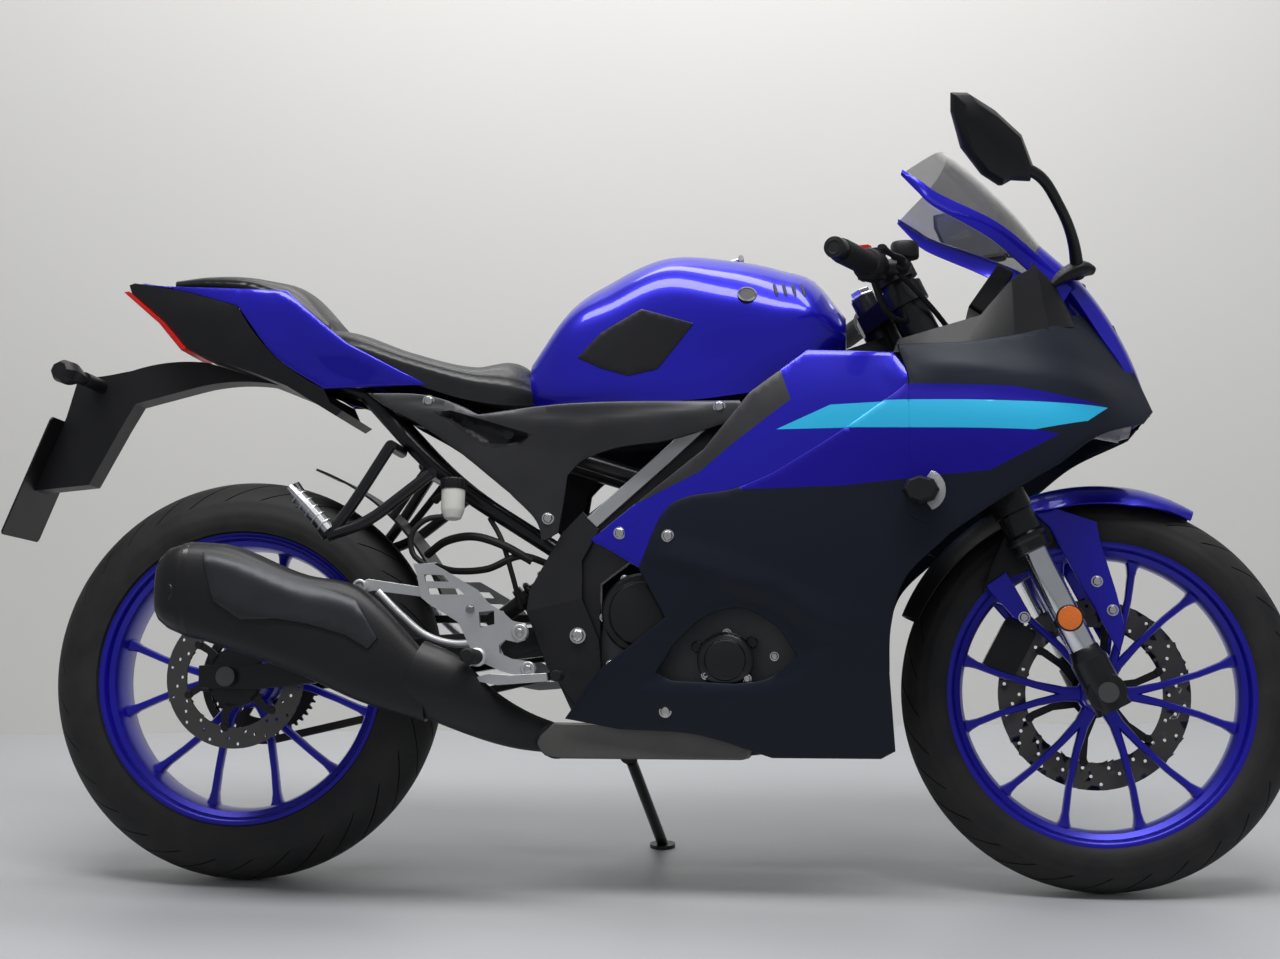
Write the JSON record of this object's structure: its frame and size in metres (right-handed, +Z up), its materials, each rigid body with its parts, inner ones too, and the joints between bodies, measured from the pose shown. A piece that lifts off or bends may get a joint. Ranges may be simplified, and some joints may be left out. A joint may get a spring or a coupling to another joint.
{
  "type": "sport motorcycle",
  "caption": "Faired sport motorcycle leaning on its side stand, with turning wheels, steering fork, folding stand and hinged fuel cap.",
  "frame": {"origin": "centre of the bounding box at floor level", "axes": "+X forward along the bike, +Z up from the floor"},
  "size_m": [2.0181, 0.787, 1.1988],
  "materials": {
    "gloss_blue": "metallic gloss",
    "matte_navy": "matte paint",
    "rim_blue": "metallic gloss",
    "satin_grey": "satin",
    "black_plastic": "textured",
    "seat_vinyl": "grained",
    "tyre_rubber": "rubber",
    "rubber": "rubber",
    "black_metal": "satin",
    "frame_silver": "satin silver",
    "cast_alloy": "cast",
    "polished_tube": "polished",
    "brushed_alloy": "brushed",
    "disc_steel": "ground",
    "dark_steel": "oiled",
    "smoked_glass": "tinted",
    "clear_lens": "clear",
    "red_lens": "gloss",
    "pipe_grey": "heat dulled"
  },
  "bodies": {
    "chassis": {"rear_axle": "cast_alloy", "main_frame": "frame_silver", "rear_subframe": "black_metal", "swingarm": "black_metal", "rear_caliper": "black_metal", "rear_shock": "black_metal", "chain": "dark_steel", "engine": "cast_alloy", "engine_covers": "black_metal", "radiator": "black_metal", "exhaust_pipe": "pipe_grey", "muffler": "black_metal", "tank_cover": "gloss_blue", "passenger_seat": "seat_vinyl", "tail_cowl_right": "gloss_blue", "tail_cowl_left": "gloss_blue", "tail_shell": "black_plastic", "tail_lamp": "red_lens", "rider_seat": "seat_vinyl", "plate_hanger": "black_plastic", "number_plate": "black_plastic", "side_cover_right": "satin_grey", "side_cover_left": "satin_grey", "side_fairing_right": "matte_navy", "side_fairing_left": "matte_navy", "belly_fairing_right": "matte_navy", "belly_fairing_left": "matte_navy", "middle_panel_right": "gloss_blue", "middle_panel_left": "gloss_blue", "indicators": "clear_lens", "nose_cowl": "gloss_blue", "windscreen": "smoked_glass", "headlamp": "clear_lens", "cockpit_trim": "black_plastic", "instrument_panel": "black_plastic", "cowl_stay": "black_metal", "mirrors": "black_plastic", "rearset_right": "brushed_alloy", "rearset_left": "brushed_alloy", "passenger_brackets": "black_metal", "rear_wheel_arch": "black_plastic"},
    "steering": {"fork_tubes": "black_metal", "fork_sliders": "polished_tube", "yokes": "black_metal", "handlebars": "rubber", "hand_controls": "black_plastic", "front_axle": "cast_alloy", "front_fender": "gloss_blue", "front_caliper": "black_metal"},
    "front_wheel": {"front_rim": "rim_blue", "front_tyre": "tyre_rubber", "front_disc": "disc_steel"},
    "rear_wheel": {"rear_rim": "rim_blue", "rear_tyre": "tyre_rubber", "rear_disc": "disc_steel", "rear_sprocket": "dark_steel"},
    "side_stand": {"side_stand": "black_metal"},
    "fuel_cap": {"fuel_cap": "brushed_alloy"}
  },
  "joints": [
    {"name": "steering_turn", "type": "hinge", "parent": "chassis", "child": "steering", "pos_m": [0.47174, -0.06412, 0.67827], "axis": [-0.4308, 0.1799, 0.8843], "range_deg": [-28, 28]},
    {"name": "front_wheel_turn", "type": "hinge", "parent": "steering", "child": "front_wheel", "pos_m": [0.71319, -0.14278, 0.29169], "axis": [0.0001, 0.9799, -0.1994], "continuous": true},
    {"name": "rear_wheel_turn", "type": "hinge", "parent": "chassis", "child": "rear_wheel", "pos_m": [-0.61182, -0.13919, 0.30895], "axis": [0.0001, 0.9799, -0.1994], "continuous": true},
    {"name": "side_stand_fold", "type": "hinge", "parent": "chassis", "child": "side_stand", "pos_m": [-0.01178, -0.07254, 0.17525], "axis": [0.0976, 0.8266, 0.5543], "range_deg": [0, 94]},
    {"name": "fuel_cap_lift", "type": "hinge", "parent": "chassis", "child": "fuel_cap", "pos_m": [0.17294, -0.00603, 0.9637], "axis": [0.0001, 0.9799, -0.1994], "range_deg": [0, 85]}
  ]
}
